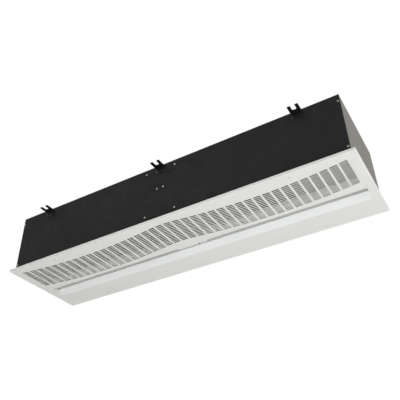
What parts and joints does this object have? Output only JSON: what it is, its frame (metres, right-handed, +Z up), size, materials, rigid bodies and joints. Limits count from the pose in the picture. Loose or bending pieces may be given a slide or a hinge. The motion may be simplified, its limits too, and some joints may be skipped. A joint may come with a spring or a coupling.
{
  "type": "recessed air curtain",
  "caption": "Long ceiling-recessed air curtain with a charcoal casing, fork hangers, a white drop-down cover with a slotted intake and a full-length air slot, and centrifugal fans inside.",
  "frame": {"origin": "centre of the underside of the bottom cover, which is the lowest plane of the part", "axes": "+X along the casing from the left end to the right end as seen from the front, +Y from the front face to the back face, +Z up towards the ceiling"},
  "size_m": [1.532, 0.466, 0.292],
  "materials": {
    "black_steel": "matte charcoal powder coat",
    "galvanised_sheet": "galvanised sheet",
    "inner_sheet": "galvanised sheet",
    "bracket_black": "black coat",
    "zinc_screw": "zinc plated",
    "pale_floor": "pale grey paint",
    "foam_rubber": "pale closed-cell foam",
    "motor_paint": "dark grey paint",
    "stator_pack": "stacked steel laminations",
    "bearing_steel": "ground steel",
    "board_laminate": "green solder mask",
    "black_plastic": "moulded plastic",
    "cream_plastic": "moulded plastic",
    "capacitor_can": "plain can",
    "red_lens": "clear red",
    "white_cover": "white powder coat",
    "impeller_sheet": "dark coat"
  },
  "bodies": {
    "casing": {"front_panel": "black_steel", "back_panel": "black_steel", "top_panel": "galvanised_sheet", "end_plate_left": "galvanised_sheet", "end_plate_right": "galvanised_sheet", "hanger_front_left": "bracket_black", "hanger_front_middle": "bracket_black", "hanger_front_right": "bracket_black", "hanger_back_left": "bracket_black", "hanger_back_middle": "bracket_black", "hanger_back_right": "bracket_black", "hanger_screws": "bracket_black", "panel_screws": "zinc_screw", "bulkhead_left": "inner_sheet", "bulkhead_right": "inner_sheet", "bay_floor": "pale_floor", "deck_front_left": "pale_floor", "deck_front_right": "pale_floor", "deck_back_left": "pale_floor", "deck_back_right": "pale_floor", "duct_top_left": "inner_sheet", "duct_top_right": "inner_sheet", "duct_ends": "pale_floor", "duct_seal": "foam_rubber", "fan_housing_1": "inner_sheet", "fan_housing_2": "inner_sheet", "fan_housing_3": "inner_sheet", "fan_housing_4": "inner_sheet", "fan_cheeks": "inner_sheet", "inlet_rings": "inner_sheet", "motor_shell_left": "motor_paint", "motor_shell_right": "motor_paint", "motor_stators": "stator_pack", "shaft_bearings": "bearing_steel", "motor_cradle_left": "inner_sheet", "motor_cradle_right": "inner_sheet", "cradle_bands": "inner_sheet", "board_rail": "inner_sheet", "circuit_board": "board_laminate", "board_parts": "black_plastic", "terminal_block": "cream_plastic", "run_capacitors": "capacitor_can", "receiver_lens": "red_lens", "cable_gland": "black_plastic", "gland_nut": "black_plastic"},
    "cover": {"bottom_cover": "white_cover", "slot_lip_near": "white_cover", "slot_lip_far": "white_cover", "slot_cheeks": "white_cover", "intake_grille": "white_cover", "cover_screws": "zinc_screw"},
    "fan_left": {"fan_shaft_left": "bearing_steel", "rotor_core_left": "stator_pack", "impeller_1": "impeller_sheet", "impeller_2": "impeller_sheet"},
    "fan_right": {"fan_shaft_right": "bearing_steel", "rotor_core_right": "stator_pack", "impeller_3": "impeller_sheet", "impeller_4": "impeller_sheet"}
  },
  "joints": [
    {"name": "cover_drop", "type": "slide", "parent": "casing", "child": "cover", "axis": [0, 0, -1], "range_m": [0, 0.06]},
    {"name": "fan_left_spin", "type": "hinge", "parent": "casing", "child": "fan_left", "pos_m": [-0.404, -0.058, 0.156], "axis": [1, 0, 0], "continuous": true},
    {"name": "fan_right_spin", "type": "hinge", "parent": "casing", "child": "fan_right", "pos_m": [0.404, -0.058, 0.156], "axis": [1, 0, 0], "continuous": true}
  ]
}
